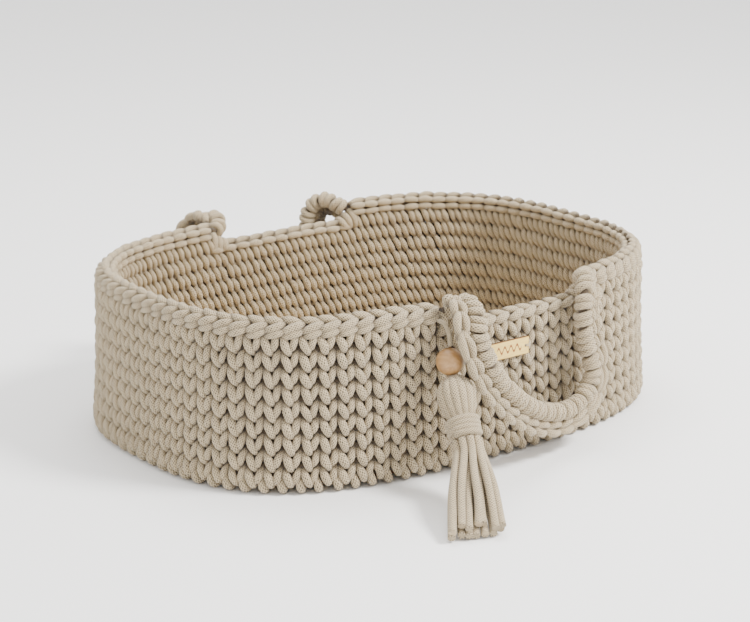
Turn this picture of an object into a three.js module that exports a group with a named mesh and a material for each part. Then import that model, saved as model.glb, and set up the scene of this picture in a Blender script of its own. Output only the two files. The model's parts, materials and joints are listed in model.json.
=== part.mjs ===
// Oval baby basket crocheted from thick cotton cord round a plywood base, with two rope handles,
// a name plate and a tassel with a wooden bead.
// Millimetres. The origin is on the floor under the middle of the base, +X runs along the basket,
// +Z is up, and the front side, with the plate and the tassel, faces -Y.

import * as THREE from 'three';

// ---- driving dimensions ----
const height = 190; // floor to the top of the rim chain
const halfLength = 324; // outer half length at the rim
const halfWidth = 236; // outer half width at the rim
const flareLength = 10; // how much further out the wall stands at the floor, at each end
const flareWidth = 3; // and at each side
const ovalPower = 2.9; // 2 is an ellipse, more is squarer
const ringSteps = 48; // flats round the oval

const wallThickness = 24; // two layers of cord and what is between them
const cord = 9; // crochet cord
const gap = 0.3; // between pieces that touch

const boardThickness = 4;
const boardInset = 9; // board edge, in from the wall's outer face
const boardHoleRadius = 3.2;
const boardHoleInset = 11; // hole centres, in from the board's edge
const boardHoles = 48;
const baseRoundGrip = 26; // how far the base round reaches in under the board

const wallRounds = 9; // the last of them stops at the handles
const rimChainHeight = 17;
const rimChainWidth = 21;
const gapChainHeight = 9;
const wallBulge = 1.4; // each round's face stands out at mid height

const handleCentre = 24; // both handles sit this far along from the middle
const handleHalfSpan = 111; // from there to where the strap leaves the rim
const strapRadius = 11.5;
const coreRadius = 4.6;
const edgeChainRadius = 6.3;
const edgeClearance = 0.8; // between the strap and its edge chain, which cuts its corners in the bends
const strapSides = 10;
const handleSteps = 26;

const plateLength = 58;
const plateHeight = 20;
const plateThickness = 3;
const plateCentre = new THREE.Vector2(2, height - 64); // along the wall, and below the rim
const plateHoleRadius = 1.5;
const plateHoleInset = 5;
const tieRadius = 1.1;
const tieKnotRadius = 2.2;

const beadRadius = 15;
const beadBoreRadius = 3.6;
const hangerRadius = 2.5;
const headRadius = 21.5;
const neckRadius = 16.2; // the bundle where the wrap binds it
const neckLength = 27;
const neckWrapRadius = 19;
const strandRadius = 3.5;
const innerStrands = 4;
const outerStrands = 10;
const innerStrandRing = 5.6; // centre circle of the inner strands where they leave the neck
const outerStrandRing = 13.2;

// ---- derived heights ----
const boardBottom = cord + gap;
const baseRoundTop = boardBottom + boardThickness;
const rimChainBottom = height - rimChainHeight;
const roundPitch = (rimChainBottom - baseRoundTop - gap) / wallRounds;
const gapChainBottom = baseRoundTop + gap + roundPitch * (wallRounds - 1);

// ---- colours ----
const finish = (color, roughness) => new THREE.MeshStandardMaterial({ color, roughness, metalness: 0 });
const cotton = () => finish(0xbfb09a, 0.95);
const paleCotton = () => finish(0xc8bba6, 0.95);
const plywood = () => finish(0xc09a63, 0.7);
const birch = () => finish(0xe8d3a2, 0.6);
const beadWood = () => finish(0xc9ad8c, 0.45);

// ---- the oval wall ----

// Half lengths of the outer face at height z.
function halfSizes(z) {
  const spread = (1 - z / height) ** 2;
  return [halfLength + flareLength * spread, halfWidth + flareWidth * spread];
}

// Point of the oval at an angle, moved in from the outer face by inset.
function ovalAt(angle, inset, z) {
  const [a, b] = halfSizes(z);
  const c = Math.cos(angle);
  const s = Math.sin(angle);
  const x = Math.sign(c) * a * Math.abs(c) ** (2 / ovalPower);
  const y = Math.sign(s) * b * Math.abs(s) ** (2 / ovalPower);
  const normal = new THREE.Vector2(
    Math.sign(x) * Math.abs(x / a) ** (ovalPower - 1) / a,
    Math.sign(y) * Math.abs(y / b) ** (ovalPower - 1) / b,
  ).normalize();
  return new THREE.Vector3(x - normal.x * inset, y - normal.y * inset, z);
}

// Angles that part the mid-height outline into equal lengths, found by walking it in small steps.
function evenAngles(count) {
  const fine = 3600;
  const walked = [0];
  let last = ovalAt(0, 0, height / 2);
  for (let i = 1; i <= fine; i += 1) {
    const next = ovalAt((i / fine) * 2 * Math.PI, 0, height / 2);
    walked.push(walked[i - 1] + next.distanceTo(last));
    last = next;
  }
  const angles = [];
  let at = 0;
  for (let i = 0; i <= count; i += 1) {
    while (at < fine && walked[at] < (i / count) * walked[fine] - 1e-6) at += 1;
    angles.push((at / fine) * 2 * Math.PI);
  }
  return angles;
}

const ringAngles = evenAngles(ringSteps);

// Point a fraction t of the way round, counter-clockwise from the +X end, on the ring's flats.
function wallPoint(t, inset, z) {
  const step = (((t % 1) + 1) % 1) * ringSteps;
  const index = Math.floor(step + 1e-6);
  const part = Math.max(step - index, 0);
  const from = ovalAt(ringAngles[index], inset, z);
  const to = ovalAt(ringAngles[Math.min(index + 1, ringSteps)], inset, z);
  return from.lerp(to, part);
}

// Fraction round the oval where the front (side -1) or rear (side 1) face is at x.
function fractionAtX(x, side) {
  let low = side > 0 ? 0 : 0.5;
  let high = low + 0.5;
  for (let i = 0; i < 40; i += 1) {
    const middle = (low + high) / 2;
    const right = wallPoint(middle, wallThickness / 2, height).x > x;
    if (right === side > 0) low = middle;
    else high = middle;
  }
  return (low + high) / 2;
}

// Moves every vertex of a geometry by a function of its position.
function bend(geometry, move) {
  const position = geometry.attributes.position;
  const vertex = new THREE.Vector3();
  for (let i = 0; i < position.count; i += 1) {
    vertex.fromBufferAttribute(position, i);
    const { x, y, z } = move(vertex);
    position.setXYZ(i, x, y, z);
  }
  geometry.computeVertexNormals();
  return geometry;
}

// Closed ring round the oval. The profile is [inset, z] points, up the outside and down the inside.
function ovalRing(profile) {
  const turned = halfWidth;
  const points = [...profile, profile[0]].map(([inset, z]) => new THREE.Vector2(turned - inset, z));
  const ring = new THREE.LatheGeometry(points, ringSteps);
  return bend(ring, ({ x, y, z }) => {
    const t = Math.round((Math.atan2(x, z) / (2 * Math.PI)) * ringSteps) / ringSteps;
    return wallPoint(t, turned - Math.hypot(x, z), y);
  });
}

// Length of the same profile between two fractions of the way round.
function ovalArc(profile, from, to) {
  const shape = new THREE.Shape(profile.map(([inset, z]) => new THREE.Vector2(inset, z)));
  const steps = Math.max(4, Math.round((to - from) * ringSteps));
  const bar = new THREE.ExtrudeGeometry(shape, { depth: 1, steps, bevelEnabled: false });
  return bend(bar, ({ x, y, z }) => wallPoint(from + (to - from) * z, x, y));
}

// Cross-section of one crochet round: a slab whose two faces stand out at mid height.
function roundProfile(bottom, top) {
  const middle = (bottom + top) / 2;
  return [
    [wallBulge, bottom],
    [0, middle],
    [wallBulge, top],
    [wallThickness - wallBulge, top],
    [wallThickness, middle],
    [wallThickness - wallBulge, bottom],
  ];
}

// Cross-section of a chain of links lying on top of a round.
function chainProfile(bottom, chainHeight, width) {
  const inner = (wallThickness + width) / 2;
  const outer = (wallThickness - width) / 2;
  const shoulder = chainHeight * 0.5;
  return [
    [outer + 1, bottom],
    [outer, bottom + shoulder],
    [outer + width * 0.3, bottom + chainHeight],
    [inner - width * 0.2, bottom + chainHeight],
    [inner, bottom + shoulder],
    [inner - 1, bottom],
  ];
}

// ---- tubes ----

const circle = (radius, sides) => Array.from({ length: sides }, (_, i) => {
  const angle = (i / sides) * 2 * Math.PI;
  return new THREE.Vector2(radius * Math.cos(angle), radius * Math.sin(angle));
});

// Tube along a curve, solid or with a hole down its middle.
function tube(curve, radius, steps, sides, holeRadius = 0) {
  const shape = new THREE.Shape(circle(radius, sides));
  if (holeRadius > 0) shape.holes.push(new THREE.Path(circle(holeRadius, sides)));
  return new THREE.ExtrudeGeometry(shape, { extrudePath: curve, steps, curveSegments: sides });
}

const smoothCurve = (points) => new THREE.CatmullRomCurve3(points, false, 'centripetal');

// Curve beside another one. The offset stays square to it and starts from the side named at its middle.
function besideCurve(curve, offset, sideAtMiddle, steps) {
  const frames = curve.computeFrenetFrames(steps, false);
  const middle = steps / 2;
  const turn = Math.atan2(
    sideAtMiddle.dot(frames.binormals[middle]),
    sideAtMiddle.dot(frames.normals[middle]),
  );
  return smoothCurve(frames.normals.map((normal, i) => curve.getPointAt(i / steps)
    .addScaledVector(normal, offset * Math.cos(turn))
    .addScaledVector(frames.binormals[i], offset * Math.sin(turn))));
}

// ---- assembly ----

const group = new THREE.Group();

function add(name, geometry, material, parent = group) {
  const mesh = new THREE.Mesh(geometry, material);
  mesh.name = name;
  parent.add(mesh);
  return mesh;
}

// Plywood board with a row of holes along its edge for the first round of cord.
function baseBoard() {
  const outline = (inset, count) => Array.from({ length: count }, (_, i) => {
    const { x, y } = wallPoint(i / count, inset, baseRoundTop);
    return new THREE.Vector2(x, y);
  });
  const shape = new THREE.Shape(outline(boardInset, ringSteps));
  for (const centre of outline(boardInset + boardHoleInset, boardHoles)) {
    shape.holes.push(new THREE.Path(circle(boardHoleRadius, 6).map((point) => point.add(centre))));
  }
  const board = new THREE.ExtrudeGeometry(shape, { depth: boardThickness, bevelEnabled: false });
  return board.translate(0, 0, boardBottom);
}

// First round: cord under the board's rim, and the same cord where it turns up round the board's edge.
function addBaseRound() {
  const underTop = boardBottom - gap;
  const under = [[2, 0], [0, cord / 2], [0, underTop], [baseRoundGrip, underTop], [baseRoundGrip, 0]];
  const edgeInset = boardInset - gap;
  const edge = [[0, boardBottom], [0, baseRoundTop], [edgeInset, baseRoundTop], [edgeInset, boardBottom]];
  add('base_round', ovalRing(under), cotton());
  add('base_edge_round', ovalRing(edge), cotton());
}

function addWall() {
  for (let i = 0; i < wallRounds - 1; i += 1) {
    const bottom = baseRoundTop + gap + roundPitch * i;
    const profile = roundProfile(bottom, bottom + roundPitch - gap);
    add(`wall_round_0${i + 1}`, ovalRing(profile), cotton());
  }
}

// The top round and the rim run from one handle, round an end of the basket, to the other.
// Between the two ends of a handle the wall is a round lower, with a chain of its own.
function addRim() {
  const frontLeft = fractionAtX(handleCentre - handleHalfSpan, -1);
  const frontRight = fractionAtX(handleCentre + handleHalfSpan, -1);
  const rearLeft = fractionAtX(handleCentre - handleHalfSpan, 1);
  const rearRight = fractionAtX(handleCentre + handleHalfSpan, 1);
  const topRound = roundProfile(gapChainBottom, rimChainBottom - gap);
  const rim = chainProfile(rimChainBottom, rimChainHeight, rimChainWidth);
  const lowRim = chainProfile(gapChainBottom, gapChainHeight, rimChainWidth);
  const space = gap / 1000; // keeps the low chain's ends off the top round's
  add('top_round_left', ovalArc(topRound, rearLeft, frontLeft), cotton());
  add('top_round_right', ovalArc(topRound, frontRight - 1, rearRight), cotton());
  add('rim_chain_left', ovalArc(rim, rearLeft, frontLeft), paleCotton());
  add('rim_chain_right', ovalArc(rim, frontRight - 1, rearRight), paleCotton());
  add('gap_chain_front', ovalArc(lowRim, frontLeft + space, frontRight - space), paleCotton());
  add('gap_chain_rear', ovalArc(lowRim, rearRight + space, rearLeft - space), paleCotton());
}

// Middle line of a handle hanging outside. It leaves the rim level, arches over it and droops in a
// lopsided U. Each half is [in from its own end of the low stretch, out from the rim's middle line,
// above the top of the rim].
const handleLeftHalf = [
  [3.4, 0, -9],
  [9, 0, -9],
  [18, 4, -6],
  [25, 18, 1],
  [20, 38, -6],
  [12, 53, -26],
  [19, 60, -52],
  [39, 60, -82],
  [71, 58, -110],
  [103, 53, -128],
];
const handleRightHalf = [
  [83, 47, -138],
  [52, 43, -135],
  [33, 40, -120],
  [29, 38, -98],
  [37, 37, -70],
  [43, 37, -44],
  [43, 36, -22],
  [37, 32, -7],
  [25, 17, 1],
  [16, 4, -6],
  [9, 0, -9],
  [3.4, 0, -9],
];

// A handle: foundation cord, the strap of thick wraps round it, and the edge chain outside the U.
function addHandle(name, side) {
  const rimMiddle = halfWidth - wallThickness / 2;
  const onRoute = (end, inward) => ([along, out, up]) => new THREE.Vector3(
    handleCentre + end + inward * along, side * (rimMiddle + out), height + up);
  const route = smoothCurve([
    ...handleLeftHalf.map(onRoute(-handleHalfSpan, 1)),
    ...handleRightHalf.map(onRoute(handleHalfSpan, -1)),
  ]);
  const beside = strapRadius + edgeChainRadius + edgeClearance;
  const edge = besideCurve(route, beside, new THREE.Vector3(0, 0, -1), handleSteps);
  const strap = tube(route, strapRadius, handleSteps, strapSides, coreRadius + gap * 2);
  add(`${name}_core`, tube(route, coreRadius, handleSteps, 6), cotton());
  add(`${name}_strap`, strap, cotton());
  add(`${name}_edge_chain`, tube(edge, edgeChainRadius, handleSteps, 8), paleCotton());
}

// Birch plate tied flat against the front of the wall, with a thread knot at each end.
function addPlate() {
  const shape = new THREE.Shape();
  const halfL = plateLength / 2;
  const halfH = plateHeight / 2;
  const corner = 1.5;
  shape.moveTo(-halfL + corner, -halfH).lineTo(halfL - corner, -halfH).lineTo(halfL, -halfH + corner)
    .lineTo(halfL, halfH - corner).lineTo(halfL - corner, halfH).lineTo(-halfL + corner, halfH)
    .lineTo(-halfL, halfH - corner).lineTo(-halfL, -halfH + corner);
  const holeX = halfL - plateHoleInset;
  for (const x of [-holeX, holeX]) {
    shape.holes.push(new THREE.Path(circle(plateHoleRadius, 8).map((p) => p.add(new THREE.Vector2(x, 0)))));
  }
  const plate = new THREE.ExtrudeGeometry(shape, { depth: plateThickness, bevelEnabled: false });
  const mount = new THREE.Group();
  mount.position.set(plateCentre.x, -halfSizes(plateCentre.y)[1] - gap, plateCentre.y);
  mount.rotation.x = Math.PI / 2; // the plate's own +Z now points out of the wall
  group.add(mount);
  add('name_plate', plate, birch(), mount);
  const knotTop = plateThickness + gap;
  const knot = [[0, 0], [tieRadius, 0], [tieRadius, knotTop], [tieKnotRadius, knotTop],
    [tieKnotRadius * 0.8, knotTop + 1.6], [0, knotTop + 2]];
  for (const [name, x] of [['plate_tie_left', -holeX], ['plate_tie_right', holeX]]) {
    const points = knot.map(([r, h]) => new THREE.Vector2(r, h));
    const tie = add(name, new THREE.LatheGeometry(points, 8), paleCotton(), mount);
    tie.rotation.x = Math.PI / 2;
    tie.position.x = x;
  }
}

// ---- tassel ----

// It hangs from the wall by the left end of the front handle, bends forward, and its skirt of
// cut cord ends comes down on the floor.
const hangerRoute = [
  [-97, -236.9, 176],
  [-97.5, -246, 175],
  [-98.5, -254, 169],
  [-99, -257.6, 161],
  [-99, -258, 153.4],
];
const beadCentre = new THREE.Vector3(-99, -258, 136);
const headTop = new THREE.Vector3(-98.5, -261.5, 120);
const neckTop = new THREE.Vector3(-109, -289, 85);
const skirtCentre = new THREE.Vector3(-183, -404, 4.4);
const tipPitch = 8.6; // between the tips that lie side by side
const skirtSwell = 4; // how far the outer strands stand out half way down

const toVector = (points) => points.map(([x, y, z]) => new THREE.Vector3(x, y, z));

// Turns a solid made along +Z to run from one point towards another.
function aim(mesh, from, towards) {
  mesh.position.copy(from);
  mesh.quaternion.setFromUnitVectors(new THREE.Vector3(0, 0, 1), towards.clone().sub(from).normalize());
}

const turned = (profile, sides) => new THREE.LatheGeometry(
  profile.map(([r, h]) => new THREE.Vector2(r, h)), sides).rotateX(Math.PI / 2);

function beadGeometry() {
  const profile = [];
  const bore = Math.asin(beadBoreRadius / beadRadius);
  const arcs = 8;
  for (let i = 0; i <= arcs; i += 1) {
    const angle = Math.PI - bore - (i / arcs) * (Math.PI - 2 * bore);
    profile.push([beadRadius * Math.sin(angle), beadRadius * Math.cos(angle)]);
  }
  profile.push(profile[0]);
  return turned(profile, 16);
}

// Head of folded strands, with the stem that the neck wrap binds.
function headGeometry(length) {
  const bulb = [[0, 0], [0.5, 0.02], [0.86, 0.2], [1, 0.45], [0.93, 0.72], [0.8, 0.94]];
  const bulbLength = length - neckLength;
  const stem = [[neckRadius, bulbLength], [neckRadius, length], [0, length]];
  return turned([...bulb.map(([r, h]) => [r * headRadius, h * bulbLength]), ...stem], 12);
}

function neckWrapGeometry() {
  const inner = neckRadius + gap;
  return turned([
    [inner, 0.6],
    [neckWrapRadius, 0.6],
    [neckWrapRadius + 0.8, neckLength / 2],
    [neckWrapRadius, neckLength - 0.4],
    [inner, neckLength - 0.4],
    [inner, 0.6],
  ], 12);
}

// Places of the strands in the neck's end face, across and up, and where each one's tip lies:
// the upper half of them comes to lie on the lower half.
function strandPlaces() {
  const places = [];
  for (const [count, ring] of [[innerStrands, innerStrandRing], [outerStrands, outerStrandRing]]) {
    for (let i = 0; i < count; i += 1) {
      const angle = ((i + 0.5) / count) * 2 * Math.PI;
      places.push({ across: ring * Math.cos(angle), up: ring * Math.sin(angle), ring });
    }
  }
  for (const [layer, side] of [[1, 1], [0, -1]]) {
    const row = places.filter((place) => place.up * side > 0).sort((p, q) => p.across - q.across);
    row.forEach((place, i) => {
      place.tipAcross = (i - (row.length - 1) / 2) * tipPitch;
      place.tipUp = layer * 2 * (strandRadius + gap);
    });
  }
  return places;
}

// One strand of the skirt, from its place in the neck's end face down to its place on the floor.
function strandCurve(neckBottom, down, place) {
  const across = new THREE.Vector3(0, 0, 1).cross(down).normalize();
  const up = down.clone().cross(across);
  const start = neckBottom.clone().addScaledVector(across, place.across)
    .addScaledVector(up, place.up).addScaledVector(down, gap * 2);
  const straight = start.clone().addScaledVector(down, 5);
  const bound = start.clone().addScaledVector(down, 12);
  const tip = skirtCentre.clone().addScaledVector(across, place.tipAcross);
  tip.z += place.tipUp;
  const swell = place.ring > innerStrandRing ? skirtSwell / place.ring : 0;
  const middle = bound.clone().lerp(tip, 0.5)
    .addScaledVector(across, place.across * swell).addScaledVector(up, place.up * swell);
  return smoothCurve([start, straight, bound, middle, tip]);
}

function addTassel() {
  const down = neckTop.clone().sub(headTop).normalize();
  const headLength = neckTop.distanceTo(headTop) + neckLength;
  const neckBottom = headTop.clone().addScaledVector(down, headLength);
  add('tassel_hanger', tube(smoothCurve(toVector(hangerRoute)), hangerRadius, 6, 8), paleCotton());
  aim(add('tassel_bead', beadGeometry(), beadWood()), beadCentre, headTop);
  aim(add('tassel_head', headGeometry(headLength), cotton()), headTop, neckTop);
  aim(add('tassel_neck_wrap', neckWrapGeometry(), paleCotton()), neckTop, neckBottom);
  strandPlaces().forEach((place, i) => {
    const name = `tassel_strand_${String(i + 1).padStart(2, '0')}`;
    add(name, tube(strandCurve(neckBottom, down, place), strandRadius, 6, 8), cotton());
  });
}

add('base_board', baseBoard(), plywood());
addBaseRound();
addWall();
addRim();
addHandle('handle_front', -1);
addHandle('handle_rear', 1);
addPlate();
addTassel();

export default group;
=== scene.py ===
"""Looks of an oval baby basket crocheted from thick cotton cord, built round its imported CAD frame.

Every round of the wall is one swept cord worked into stitches. The handles are cord wrapped round a
foundation with a chain along their outer side, and the tassel is a bundle of cut cord ends. Metres.
"""

import json  # noqa: E402
import logging  # noqa: E402
import math  # noqa: E402
from dataclasses import dataclass, field  # noqa: E402
from enum import Enum  # noqa: E402
from typing import Any, Sequence  # noqa: E402

import bpy  # noqa: E402
import numpy as np  # noqa: E402
from mathutils import Matrix, Vector  # noqa: E402


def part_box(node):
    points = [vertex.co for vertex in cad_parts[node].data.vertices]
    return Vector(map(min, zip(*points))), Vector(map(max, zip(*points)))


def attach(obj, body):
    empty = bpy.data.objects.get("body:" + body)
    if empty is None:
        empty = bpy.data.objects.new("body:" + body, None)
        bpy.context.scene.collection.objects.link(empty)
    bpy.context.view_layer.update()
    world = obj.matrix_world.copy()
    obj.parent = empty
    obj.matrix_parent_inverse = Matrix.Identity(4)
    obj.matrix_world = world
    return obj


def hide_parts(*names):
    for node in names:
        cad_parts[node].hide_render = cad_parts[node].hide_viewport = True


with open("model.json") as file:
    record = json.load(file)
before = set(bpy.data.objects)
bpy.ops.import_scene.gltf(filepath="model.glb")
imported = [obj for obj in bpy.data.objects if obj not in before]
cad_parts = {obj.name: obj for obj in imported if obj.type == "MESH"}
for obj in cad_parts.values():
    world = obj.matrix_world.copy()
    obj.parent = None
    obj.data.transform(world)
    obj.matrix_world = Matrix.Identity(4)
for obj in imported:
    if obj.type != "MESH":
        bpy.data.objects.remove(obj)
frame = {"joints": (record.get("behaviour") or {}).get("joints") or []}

log = logging.getLogger("basket")

MM = 0.001
TAU = 2 * math.pi
CORD_UV = "cord"  # around the cord and along it, both counted in knit cells
SUNK = "sunk"  # vertex attribute: 0 on the open face of the work, 1 down between the stitches; it sets how much painted shade the cord gets
WALL_THICKNESS = 24 * MM


class Slot(str, Enum):
    """The record's material slots."""

    COTTON = "cotton_cord"
    PLYWOOD = "plywood"
    BIRCH = "birch_plate"
    BEAD = "bead_wood"
    THREAD = "thread"


class Body(str, Enum):
    """The CAD bodies that pieces ride on."""

    BASKET = "basket"
    HANDLE_FRONT = "handle_front"
    HANDLE_REAR = "handle_rear"
    HANGER = "tassel_hanger"
    TASSEL = "tassel"


# ---- shader graphs ----


class Wire:
    """A shader socket that can be used in sums."""

    def __init__(self, graph: "Graph", socket: bpy.types.NodeSocket) -> None:
        """A socket of the graph."""
        self.graph, self.socket = graph, socket

    def _maths(self, operation: str, *values: Any) -> "Wire":
        """One Math node on the values."""
        made = self.graph.node("ShaderNodeMath", {"operation": operation}, dict(enumerate(values)))
        return Wire(self.graph, made.outputs[0])

    def __add__(self, other: Any) -> "Wire":
        """Sum, this one first."""
        return self._maths("ADD", self, other)

    def __radd__(self, other: Any) -> "Wire":
        """Sum, this one last."""
        return self._maths("ADD", other, self)

    def __sub__(self, other: Any) -> "Wire":
        """Difference, this one first."""
        return self._maths("SUBTRACT", self, other)

    def __rsub__(self, other: Any) -> "Wire":
        """Difference, this one last."""
        return self._maths("SUBTRACT", other, self)

    def __mul__(self, other: Any) -> "Wire":
        """Product, this one first."""
        return self._maths("MULTIPLY", self, other)

    def __rmul__(self, other: Any) -> "Wire":
        """Product, this one last."""
        return self._maths("MULTIPLY", other, self)

    def __truediv__(self, other: Any) -> "Wire":
        """Quotient, this one first."""
        return self._maths("DIVIDE", self, other)

    def __rtruediv__(self, other: Any) -> "Wire":
        """Quotient, this one last."""
        return self._maths("DIVIDE", other, self)

    def __abs__(self) -> "Wire":
        """Its size without its sign."""
        return self._maths("ABSOLUTE", self)

    def sine(self) -> "Wire":
        """Sine of an angle in radians."""
        return self._maths("SINE", self)

    def cosine(self) -> "Wire":
        """Cosine of an angle in radians."""
        return self._maths("COSINE", self)

    def lesser(self, other: Any) -> "Wire":
        """The smaller of the two."""
        return self._maths("MINIMUM", self, other)

    def greater(self, other: Any) -> "Wire":
        """The larger of the two."""
        return self._maths("MAXIMUM", self, other)

    def step(self, low: float, high: float) -> "Wire":
        """0 below low and 1 above high, with a smooth rise between them; low may be the larger.

        Args:
            low: the value on one side of the rise.
            high: the value on its other side.

        Returns:
            0 to 1.
        """
        values = {"Value": self, "From Min": min(low, high), "From Max": max(low, high)}
        made = self.graph.node("ShaderNodeMapRange", {"interpolation_type": "SMOOTHSTEP"}, values)
        rise = Wire(self.graph, made.outputs["Result"])
        return rise if low < high else 1 - rise


class Graph:
    """One material's nodes."""

    def __init__(self, name: str) -> None:
        """An empty material of that name.

        Args:
            name: the material's name.
        """
        self.material = bpy.data.materials.new(name)
        self.material.use_nodes = True
        self.tree = self.material.node_tree
        self.tree.nodes.clear()

    def node(self, kind: str, settings: dict | None = None, values: dict | None = None) -> bpy.types.Node:
        """Makes one node.

        Args:
            kind: Blender's type name.
            settings: properties, set first.
            values: numbers, colours, Wires or sockets for the inputs, by name, identifier or place.

        Returns:
            The node.
        """
        made = self.tree.nodes.new(kind)
        for key, value in (settings or {}).items():
            setattr(made, key, value)
        for key, value in (values or {}).items():
            if isinstance(key, int):
                target = made.inputs[key]
            else:
                target = next(s for s in made.inputs if key in (s.identifier, s.name))
            source = value.socket if isinstance(value, Wire) else value
            if isinstance(source, bpy.types.NodeSocket):
                self.tree.links.new(source, target)
            else:
                target.default_value = source
        return made

    def parts(self, vector: bpy.types.NodeSocket) -> tuple[Wire, Wire, Wire]:
        """X, Y and Z of a vector socket."""
        made = self.node("ShaderNodeSeparateXYZ", values={"Vector": vector})
        return tuple(Wire(self, made.outputs[i]) for i in range(3))

    def place(self) -> bpy.types.NodeSocket:
        """Where on the object the shaded point is, in metres."""
        return self.node("ShaderNodeTexCoord").outputs["Object"]

    def noise(self, vector: bpy.types.NodeSocket, scale: float, detail: float = 2.0) -> Wire:
        """Smooth noise from 0 to 1, with scale cells to the metre."""
        made = self.node("ShaderNodeTexNoise", values={"Vector": vector, "Scale": scale, "Detail": detail})
        return Wire(self, made.outputs["Fac"])

    def stretched(self, vector: bpy.types.NodeSocket, scale: Sequence[float]) -> bpy.types.NodeSocket:
        """The vector with each part scaled."""
        made = self.node("ShaderNodeVectorMath", {"operation": "MULTIPLY"}, {0: vector, 1: tuple(scale)})
        return made.outputs["Vector"]

    def mix(self, factor: Wire, first: Any, second: Any) -> bpy.types.NodeSocket:
        """Colour between first, at factor 0, and second, at factor 1.

        Args:
            factor: how much of the second colour.
            first: a colour or its socket.
            second: a colour or its socket.

        Returns:
            The mixed colour's socket.
        """
        values = {"Factor_Float": factor, "A_Color": first, "B_Color": second}
        made = self.node("ShaderNodeMix", {"data_type": "RGBA"}, values)
        return next(s for s in made.outputs if s.identifier == "Result_Color")

    def finish(self, height: Wire | None, distance: float, **values: Any) -> bpy.types.Material:
        """Joins the maps to the surface.

        Args:
            height: bump height from 0 to 1, or None for a smooth surface.
            distance: how high a bump of 1 is, in metres.
            values: the surface's inputs, with _ for each space.

        Returns:
            The material.
        """
        inputs = {key.replace("_", " "): value for key, value in values.items()}
        if height is not None:
            bump = self.node("ShaderNodeBump", values={"Height": height, "Distance": distance})
            bump.inputs["Strength"].default_value = 1.0
            inputs["Normal"] = bump.outputs["Normal"]
        surface = self.node("ShaderNodeBsdfPrincipled", values=inputs)
        self.node("ShaderNodeOutputMaterial", values={"Surface": surface.outputs["BSDF"]})
        return self.material


def rgb(red: float, green: float, blue: float) -> tuple[float, float, float, float]:
    """An opaque colour from screen values of 0 to 255."""
    linear = [((c / 255 + 0.055) / 1.055) ** 2.4 if c > 10 else c / 255 / 12.92 for c in (red, green, blue)]
    return (*linear, 1.0)


@dataclass(frozen=True)
class CordFinish:
    """Knitted cotton cord: loops with painted shade in the pinholes between them and a painted highlight on
    their crowns, a little fluff, and painted shade where the cord lies down between the stitches.
    """

    name: str = "cotton cord"
    colour: tuple = rgb(184, 165, 131)
    pinhole_shade: tuple = rgb(40, 32, 22)
    fluff_and_highlight: tuple = rgb(218, 202, 170)
    painted_shade: tuple = rgb(84, 70, 52)
    relief: float = 0.7 * MM
    pinhole_shade_share: float = 0.95

    def material(self) -> bpy.types.Material:
        """The material.

        Returns:
            The material, ready for a mesh.
        """
        g = Graph(self.name)
        uv = g.node("ShaderNodeUVMap", {"uv_map": CORD_UV}).outputs["UV"]
        around, along, _ = g.parts(uv)
        place = g.place()
        fibre = g.noise(place, 1500, 3)
        wander = (g.noise(place, 260, 1) - 0.5) * 0.55
        lattice = ((around + wander) * TAU).cosine() * ((along + wander) * TAU).cosine()
        pinhole = lattice.step(-0.1, -0.5)
        loop = lattice.step(0.25, 0.95)
        uneven = g.noise(place, 420, 1).step(0.22, 0.48)
        tone = g.noise(place, 16, 2).step(0.3, 0.7)
        plain = g.mix(tone * 0.5, self.colour, tuple(c * 0.88 for c in self.colour[:3]) + (1.0,))
        # painted highlight: the loops' raised crowns are mixed towards a paler colour; the fibre noise adds
        # real fluff
        raised = g.mix(loop * 0.45 + (fibre - 0.5).greater(0) * 1.2, plain, self.fluff_and_highlight)
        # painted shade: the pinholes between the knit loops are mixed towards a near-black brown
        open_face = g.mix(pinhole * uneven * self.pinhole_shade_share, raised, self.pinhole_shade)
        # painted shade: cord that lies down between the stitches is mixed towards a dark brown
        sunk = Wire(g, g.node("ShaderNodeAttribute", {"attribute_name": SUNK}).outputs["Fac"])
        colour = g.mix(sunk, open_face, self.painted_shade)
        height = lattice * 0.3 + 0.5 - pinhole * 0.4 + (fibre - 0.5) * 0.5
        return g.finish(
            height, self.relief, Base_Color=colour, Roughness=0.92, Specular_IOR_Level=0.25,
            Sheen_Weight=0.25, Sheen_Roughness=0.6,
        )


@dataclass(frozen=True)
class WoodFinish:
    """Bare or lightly waxed wood with grain along X."""

    name: str
    pale: tuple
    dark: tuple
    grain: float = 260.0
    gloss: float = 0.55
    coat: float = 0.0
    relief: float = 0.06 * MM

    def material(self) -> bpy.types.Material:
        """The material.

        Returns:
            The material, ready for a mesh.
        """
        g = Graph(self.name)
        place = g.place()
        lines = g.noise(g.stretched(place, (0.06, 1, 1)), self.grain, 4)
        bands = g.noise(g.stretched(place, (0.1, 1, 1)), self.grain / 9, 2)
        grain = lines.step(0.35, 0.68) * 0.6 + bands.step(0.3, 0.7) * 0.4
        return g.finish(
            grain, self.relief, Base_Color=g.mix(grain, self.pale, self.dark),
            Roughness=lines * 0.2 + (self.gloss - 0.1), Coat_Weight=self.coat, Coat_Roughness=0.35,
        )


@dataclass(frozen=True)
class BurntEdgeFinish:
    """The browned side of laser-cut plywood, with its plies."""

    name: str
    brown: tuple = rgb(96, 58, 26)
    black: tuple = rgb(48, 28, 14)
    ply: float = 0.8 * MM

    def material(self) -> bpy.types.Material:
        """The material.

        Returns:
            The material, ready for a mesh.
        """
        g = Graph(self.name)
        place = g.place()
        _, _, z = g.parts(place)
        plies = (z * (TAU / self.ply)).cosine().step(-0.4, 0.6)
        patches = g.noise(place, 90, 3).step(0.35, 0.65)
        return g.finish(
            plies, 0.05 * MM, Base_Color=g.mix(plies * 0.6 + patches * 0.4, self.black, self.brown),
            Roughness=0.8,
        )


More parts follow.
